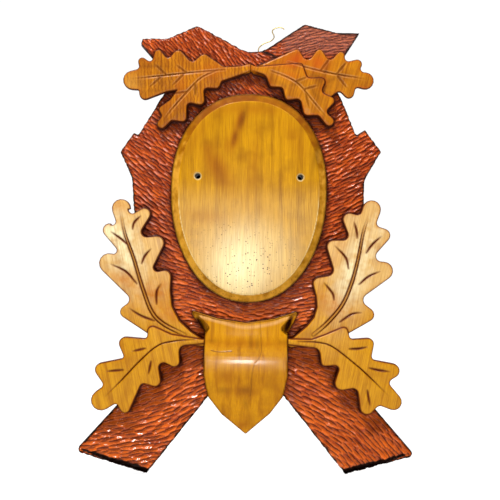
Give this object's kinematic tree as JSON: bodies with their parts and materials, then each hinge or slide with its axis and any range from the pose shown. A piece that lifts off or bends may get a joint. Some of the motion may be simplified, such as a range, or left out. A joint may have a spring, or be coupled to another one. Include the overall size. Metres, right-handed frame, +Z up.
{
  "type": "antler mounting plaque",
  "caption": "Carved wooden wall plaque of crossed logs with oak leaf sprays, a shield and a bare drilled oval for mounting a set of antlers.",
  "frame": {"origin": "on the flat back, behind the middle of the oval", "axes": "+Z up the plaque, +Y out of its back into the wall, so the carved face looks to -Y, and +X to the viewer's right"},
  "size_m": [0.4449, 0.044, 0.5998],
  "materials": {
    "stained_logs": "red-brown stain under gloss varnish, gouged all over",
    "oval_wood": "honey varnish, smooth",
    "upper_leaf_wood": "golden varnish over carved wood",
    "lower_leaf_wood": "pale honey varnish over carved wood",
    "shield_wood": "amber varnish, polished",
    "screw_steel": "zinc plated",
    "hanger_steel": "nickel plated",
    "hanging_wire_brass": "dull"
  },
  "bodies": {
    "plaque": {"back_board": "stained_logs", "oval_panel": "oval_wood", "leaf_spray_upper_left": "upper_leaf_wood", "leaf_spray_upper_right": "upper_leaf_wood", "leaf_spray_lower_left": "lower_leaf_wood", "leaf_spray_lower_right": "lower_leaf_wood", "crest_shield": "shield_wood", "oval_screw_1": "screw_steel", "oval_screw_2": "screw_steel", "oval_screw_3": "screw_steel", "oval_screw_4": "screw_steel", "shield_screw_1": "screw_steel", "shield_screw_2": "screw_steel", "upper_left_screw_1": "screw_steel", "upper_left_screw_2": "screw_steel", "upper_right_screw_1": "screw_steel", "upper_right_screw_2": "screw_steel", "lower_left_screw_1": "screw_steel", "lower_left_screw_2": "screw_steel", "lower_right_screw_1": "screw_steel", "lower_right_screw_2": "screw_steel", "hanger_strap": "hanger_steel", "hanger_screw_1": "screw_steel", "hanger_screw_2": "screw_steel", "hanging_wire": "hanging_wire_brass"},
    "ring": {"hanging_ring": "hanger_steel"}
  },
  "joints": [
    {"name": "ring_swing", "type": "hinge", "parent": "plaque", "child": "ring", "pos_m": [0, -0.0038, 0.17598], "axis": [1, 0, 0], "range_deg": [0, 176]}
  ]
}
